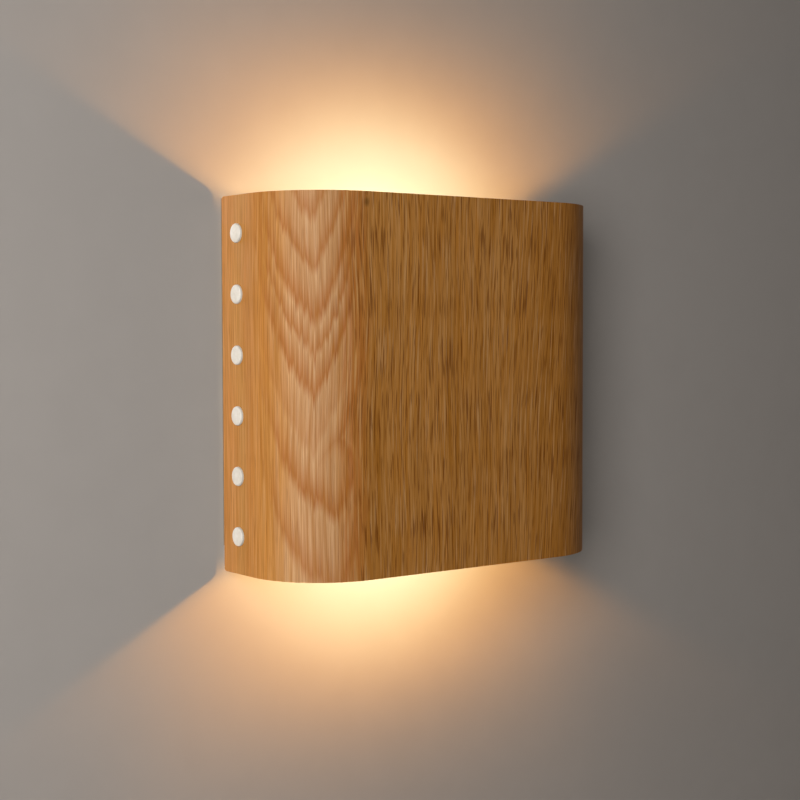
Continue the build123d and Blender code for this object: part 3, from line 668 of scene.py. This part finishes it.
def bulb_glass():
    """Frosted cover, glowing most where the chips are."""
    finish = Finish("bulb_glass")
    place = finish.place()
    x, y, z = finish.split(place)
    frost = finish.noise(place, scale=1.5, detail=3.0)
    finish.set("Base Color", finish.mix(frost, srgb(250, 244, 232), srgb(255, 252, 246)))
    finish.set("Transmission Weight", 0.7)
    finish.set("IOR", 1.45)
    middle = finish.bell(finish.magnitude(z), LED_MIDDLE, COVER_GLOW_HALF_LENGTH)
    finish.set("Emission Color", finish.mix(middle, srgb(255, 206, 140), srgb(255, 232, 184)))
    glow = finish.scaled(middle, COVER_GLOW_MIDDLE - COVER_GLOW_BASE, COVER_GLOW_BASE)
    finish.set("Emission Strength", finish.plus(glow, finish.swing(frost, 0.1)))
    finish.set("Roughness", finish.scaled(frost, 0.14, 0.30))
    finish.bump(frost, 0.02)
    return finish.material


def led_board():
    """White column with yellow chips that shine."""
    finish = Finish("led_board")
    place = finish.place()
    x, y, z = finish.split(place)
    off_axis = finish.magnitude(finish.minus(y, HOLDER_Y))
    reach = finish.math("MAXIMUM", finish.magnitude(x), off_axis)
    chip = finish.step(finish.minus(reach, LED_HALF_COLUMN), *CHIP_RANGE)
    marks = finish.noise(place, scale=1.1, detail=3.0)
    board = finish.mix(marks, srgb(222, 220, 212), srgb(240, 238, 232))
    finish.set("Base Color", finish.mix(chip, board, srgb(244, 186, 70)))
    finish.set("Emission Color", srgb(255, 214, 128))
    finish.set("Emission Strength", finish.times(chip, finish.scaled(marks, 0.2, CHIP_GLOW - 0.1)))
    finish.set("Roughness", finish.scaled(marks, 0.2, 0.35))
    finish.bump(marks, 0.02)
    return finish.material


def bulb_plastic():
    """Moulded base of the bulb."""
    return mottled("bulb_plastic", srgb(228, 225, 217), srgb(240, 237, 230), 1.0, 0.40).material


def terminal_nylon():
    """Natural nylon, slightly yellow."""
    return mottled("terminal_nylon", srgb(222, 216, 198), srgb(236, 231, 216), 1.6, 0.36).material


FINISH_OF = {
    oak_veneer: ("veneer_shade",),
    white_lining: ("shade_liner",),
    white_powder_coat: ("back_frame", "lampholder_carrier"),
    zinc_steel: (
        "wall_bracket",
        "hanging_studs",
        "carrier_screws",
        "plate_nuts",
        "lampholder_screws",
        "terminal_screws",
        "terminal_fixing_screw",
        "earth_washer",
        "earth_screw",
    ),
    rivet_nylon: ("rivet_heads_left", "rivet_heads_right", "rivet_backs_left", "rivet_backs_right"),
    grommet_rubber: ("cable_grommet",),
    holder_ceramic: ("upper_lampholder", "lower_lampholder"),
    bulb_plastic: ("upper_bulb_base", "lower_bulb_base"),
    bulb_glass: ("upper_bulb_envelope", "lower_bulb_envelope"),
    led_board: ("upper_bulb_core", "lower_bulb_core"),
    terminal_nylon: ("terminal_block",),
    green_yellow_insulation: ("earth_lead",),
}
METALS = {
    "contact_bronze": (srgb(176, 122, 70), srgb(208, 158, 100), 0.34, ("upper_contacts", "lower_contacts")),
    "pin_wire": (
        srgb(186, 184, 178),
        srgb(214, 212, 206),
        0.28,
        ("upper_bulb_pins", "lower_bulb_pins", "earth_ring_terminal"),
    ),
    "terminal_brass": (srgb(186, 148, 76), srgb(214, 180, 106), 0.30, ("terminal_barrels",)),
}
INSULATIONS = {
    "brown_insulation": (srgb(88, 52, 32), srgb(112, 70, 44), "live_leads"),
    "blue_insulation": (srgb(38, 92, 160), srgb(62, 118, 184), "neutral_leads"),
}


def dress(name, material):
    """Give a node of the part its material."""
    slots = frame["nodes"][name].data.materials
    slots.clear()
    slots.append(material)


def dress_all():
    """Give every node its finish. The shade and the frame send no bounced light to the wall."""
    for make, names in FINISH_OF.items():
        material = make()
        for name in names:
            dress(name, material)
    for name, (dark, light, roughness, node_names) in METALS.items():
        material = metal(name, dark, light, roughness)
        for node_name in node_names:
            dress(node_name, material)
    for name, (dark, light, node_name) in INSULATIONS.items():
        dress(node_name, insulation(name, dark, light))
    for name in ("veneer_shade", "back_frame"):
        frame["nodes"][name].visible_diffuse = False


# Room colours
WALL_DARK = srgb(194, 186, 179)
WALL_LIGHT = srgb(196, 188, 181)
# Painted shade on the wall inside the lamp's outline, seen as a dark line in the gap at its edge
WALL_PAINTED_SHADE = srgb(156, 134, 104)
PAINTED_SHADE_RISE = 7.0
PAINTED_SHADE_EDGE = (-0.4, -1.2)
FLOOR_DARK = srgb(206, 202, 196)
FLOOR_LIGHT = srgb(216, 213, 208)


def wall_paint():
    """Matt wall paint, with painted shade where the lamp covers it both at rest and when lifted. From
    behind, the wall isn't seen."""
    finish = mottled("wall_paint", WALL_DARK, WALL_LIGHT, 25.0, 0.85, relief=0.0, specular=0.2)
    x, y, z = finish.split(finish.place())
    aside = finish.minus(finish.magnitude(x), SHADE_HALF_WIDTH)
    lifted = finish.minus(z, PAINTED_SHADE_RISE)
    above = finish.minus(finish.magnitude(lifted), SHADE_HALF_HEIGHT - PAINTED_SHADE_RISE)
    # Painted shade: the wall is darker inside the lamp's outline, at rest and when lifted
    painted_shade = finish.step(finish.math("MAXIMUM", aside, above), *PAINTED_SHADE_EDGE)
    paint = finish.surface.inputs["Base Color"].links[0].from_socket
    finish.set("Base Color", finish.mix(painted_shade, paint, WALL_PAINTED_SHADE))
    clear = finish.tree.nodes.new("ShaderNodeBsdfTransparent")
    side = finish.tree.nodes.new("ShaderNodeNewGeometry")
    choice = finish.tree.nodes.new("ShaderNodeMixShader")
    finish.put(choice.inputs[0], side.outputs["Backfacing"])
    finish.put(choice.inputs[1], finish.surface.outputs[0])
    finish.put(choice.inputs[2], clear.outputs[0])
    finish.put(finish.output.inputs["Surface"], choice.outputs[0])
    return finish.material


def sheet_of(name, corners, material):
    """A flat rectangle through four corners in millimetres, for the room."""
    mesh = bpy.data.meshes.new(name)
    mesh.from_pydata([Vector(corner) * MM for corner in corners], [], [(0, 1, 2, 3)])
    mesh.materials.append(material)
    made = bpy.data.objects.new(name, mesh)
    bpy.context.scene.collection.objects.link(made)
    return made


def seen_rays(tree):
    """1 for rays that see a thing, straight or by way of gloss or glass, and 0 for rays that light it."""
    rays = tree.nodes.new("ShaderNodeLightPath")
    seen = rays.outputs["Is Camera Ray"]
    for name in ("Is Glossy Ray", "Is Transmission Ray"):
        either = tree.nodes.new("ShaderNodeMath")
        either.operation = "MAXIMUM"
        tree.links.new(seen, either.inputs[0])
        tree.links.new(rays.outputs[name], either.inputs[1])
        seen = either.outputs[0]
    return seen


def floor_paint():
    """Pale matt floor, which looks pale without sending more light to the lamp."""
    finish = mottled("floor_paint", FLOOR_DARK, FLOOR_LIGHT, 80.0, 0.8, relief=0.0, specular=0.2)
    finish.set("Emission Color", finish.surface.inputs["Base Color"].links[0].from_socket)
    finish.set("Emission Strength", finish.scaled(seen_rays(finish.tree), FLOOR_GLOW))
    return finish.material


def make_room():
    """A wall behind the lamp and a floor far below it."""
    half, back, floor_half = WALL_HALF_WIDTH, WALL_BEHIND, FLOOR_HALF_WIDTH
    wall = sheet_of(
        "wall",
        [(-half, back, FLOOR_Z), (half, back, FLOOR_Z), (half, back, WALL_TOP), (-half, back, WALL_TOP)],
        wall_paint(),
    )
    wall.visible_shadow = False
    floor = sheet_of(
        "floor",
        [
            (-floor_half, -FLOOR_DEPTH, FLOOR_Z),
            (floor_half, -FLOOR_DEPTH, FLOOR_Z),
            (floor_half, FLOOR_DEPTH, FLOOR_Z),
            (-floor_half, FLOOR_DEPTH, FLOOR_Z),
        ],
        floor_paint(),
    )
    return wall, floor


def make_world():
    """Even soft light, and a pale backdrop for the camera, reflections and glass."""
    world = bpy.data.worlds.new("studio")
    bpy.context.scene.world = world
    world.use_nodes = True
    tree = world.node_tree
    tree.nodes.clear()

    def background(level):
        node = tree.nodes.new("ShaderNodeBackground")
        node.inputs["Color"].default_value = (1.0, 0.985, 0.965, 1.0)
        node.inputs["Strength"].default_value = level
        return node.outputs[0]

    choice = tree.nodes.new("ShaderNodeMixShader")
    tree.links.new(seen_rays(tree), choice.inputs[0])
    tree.links.new(background(AMBIENT), choice.inputs[1])
    tree.links.new(background(BACKDROP), choice.inputs[2])
    output = tree.nodes.new("ShaderNodeOutputWorld")
    tree.links.new(choice.outputs[0], output.inputs["Surface"])


def direction(azimuth, elevation):
    """Unit vector out from the lamp: degrees to the right of straight in front, and degrees above level."""
    turn, rise = math.radians(azimuth), math.radians(elevation)
    return Vector((math.sin(turn) * math.cos(rise), -math.cos(turn) * math.cos(rise), math.sin(rise)))


def soft_lamp(name, azimuth, elevation, distance, width, height, level, lit=None):
    """A soft box aimed at the lamp, for one group of things or for all. Level is what a white surface that
    faces it shows at that distance."""
    data = bpy.data.lights.new(name, "AREA")
    data.shape = "RECTANGLE"
    data.size = width * MM
    data.size_y = height * MM
    data.energy = level * 4 * math.pi * (distance * MM) ** 2
    lamp = bpy.data.objects.new(name, data)
    bpy.context.scene.collection.objects.link(lamp)
    towards = direction(azimuth, elevation)
    target = Vector((0.0, CORNER_CENTRE_Y, 0.0))
    lamp.location = (target + towards * distance) * MM
    lamp.rotation_euler = towards.to_track_quat("Z", "Y").to_euler()
    if lit is not None:
        lamp.light_linking.receiver_collection = lit


def light_group(name, members):
    """A collection that says what a lamp lights or what shades it."""
    group = bpy.data.collections.new(name)
    for member in members:
        group.objects.link(member)
    return group


def bulb_lamp(name, place, body, watts, lit, shading):
    """A light of one bulb, which rides on a body."""
    data = bpy.data.lights.new(name, "POINT")
    data.energy = watts
    data.shadow_soft_size = BULB_RADIUS * MM
    lamp = bpy.data.objects.new(name, data)
    bpy.context.scene.collection.objects.link(lamp)
    lamp.location = Vector(place) * MM
    lamp.parent = frame["bodies"][body]
    lamp.light_linking.receiver_collection = lit
    lamp.light_linking.blocker_collection = shading
    return lamp


def spread_glow(lamp, side):
    """Send a bulb's light out of one opening: paler and weaker close by, and fading far along the wall."""
    lamp.data.use_nodes = True
    spread = Nodes(lamp.data.node_tree)
    emission = spread.tree.nodes["Emission"]
    across, to_wall, rise = spread.split(spread.coordinates.outputs["Normal"])
    rise = spread.math("MAXIMUM", spread.scaled(rise, side), LEAST_PART)
    aside = spread.math("MAXIMUM", spread.magnitude(across), LEAST_PART)
    steepness = spread.math("DIVIDE", to_wall, rise)

    level = spread.step(steepness, *REACH_RANGE)
    level = spread.times(level, spread.step(spread.math("DIVIDE", rise, aside), *CLEAR_OF_SIDES_RANGE))
    level = spread.times(level, spread.step(steepness, *CLEAR_OF_FRAME_RANGE))
    level = spread.times(level, spread.scaled(spread.step(to_wall, *CLOSE_RANGE), -CLOSE_LOSS, 1.0))
    far_aside = spread.times(spread.step(to_wall, *DISTANT_RANGE), spread.step(aside, *ASIDE_RANGE))
    half_more, middle_loss = (RIGHT_LOSS - LEFT_LOSS) / 2, (RIGHT_LOSS + LEFT_LOSS) / 2
    most = spread.scaled(spread.math("SIGN", across), half_more, middle_loss)
    level = spread.times(level, spread.minus(1.0, spread.times(far_aside, most)))
    paleness = spread.step(to_wall, *PALE_RANGE)
    spread.put(emission.inputs["Color"], spread.mix(paleness, GLOW_FAR_COLOUR, GLOW_NEAR_COLOUR))
    spread.put(emission.inputs["Strength"], level)


def make_lights(room):
    """Soft daylight from the left, a little light on the lamp's back, and the two bulbs."""
    nodes = frame["nodes"]
    whole_lamp = light_group("whole_lamp", nodes.values())
    others = [node for name, node in nodes.items() if "_bulb_" not in name]
    without_bulbs = light_group("without_bulbs", others)
    sheets = light_group("sheets", [nodes[name] for name in ("veneer_shade", "shade_liner")])
    room_group = light_group("room", room)

    soft_lamp("window", -54, 8, distance=1200, width=400, height=640, level=0.475, lit=whole_lamp)
    soft_lamp("window_on_room", -46, 8, distance=1130, width=420, height=640, level=0.405, lit=room_group)
    soft_lamp("side", -100, 10, distance=1300, width=700, height=900, level=0.20)
    soft_lamp("rear", 190, 15, distance=1500, width=700, height=700, level=0.22, lit=whole_lamp)
    soft_lamp("rear_right", 138, 10, distance=1500, width=500, height=700, level=0.36, lit=whole_lamp)

    x, y, z = GLOW_PLACE
    for side, body, watts in ((1, "upper_bulb", UPPER_GLOW_WATTS), (-1, "lower_bulb", LOWER_GLOW_WATTS)):
        glow = bulb_lamp(body + "_glow", (x, y, side * z), "lamp", watts, room_group, sheets)
        spread_glow(glow, side)
        inside = (0.0, HOLDER_Y, side * LED_MIDDLE)
        fill = bulb_lamp(body + "_fill", inside, body, INSIDE_GLOW_WATTS, without_bulbs, without_bulbs)
        fill.data.color = INSIDE_COLOUR


def make_camera():
    """The photograph's view: a point that the lamp's middle is seen from, and a lens to match."""
    back = direction(VIEW_AZIMUTH, VIEW_ELEVATION)
    right = Vector((0.0, 0.0, 1.0)).cross(back).normalized()
    above = back.cross(right)
    roll = Matrix.Rotation(math.radians(VIEW_ROLL), 3, back)
    right, above = roll @ right, roll @ above
    place = back * VIEW_DISTANCE + right * VIEW_ASIDE + above * VIEW_RAISE
    data = bpy.data.cameras.new("camera")
    data.sensor_fit = "HORIZONTAL"
    data.sensor_width = SENSOR_WIDTH
    data.lens = FOCAL_PIXELS / IMAGE_PIXELS * SENSOR_WIDTH
    camera = bpy.data.objects.new("camera", data)
    bpy.context.scene.collection.objects.link(camera)
    turned = Matrix((right, above, back)).transposed().to_4x4()
    camera.matrix_world = Matrix.Translation(place * MM) @ turned
    bpy.context.scene.camera = camera


make_camera()
room = make_room()
make_world()
make_lights(room)
dress_all()
bpy.context.scene.view_settings.view_transform = "Standard"
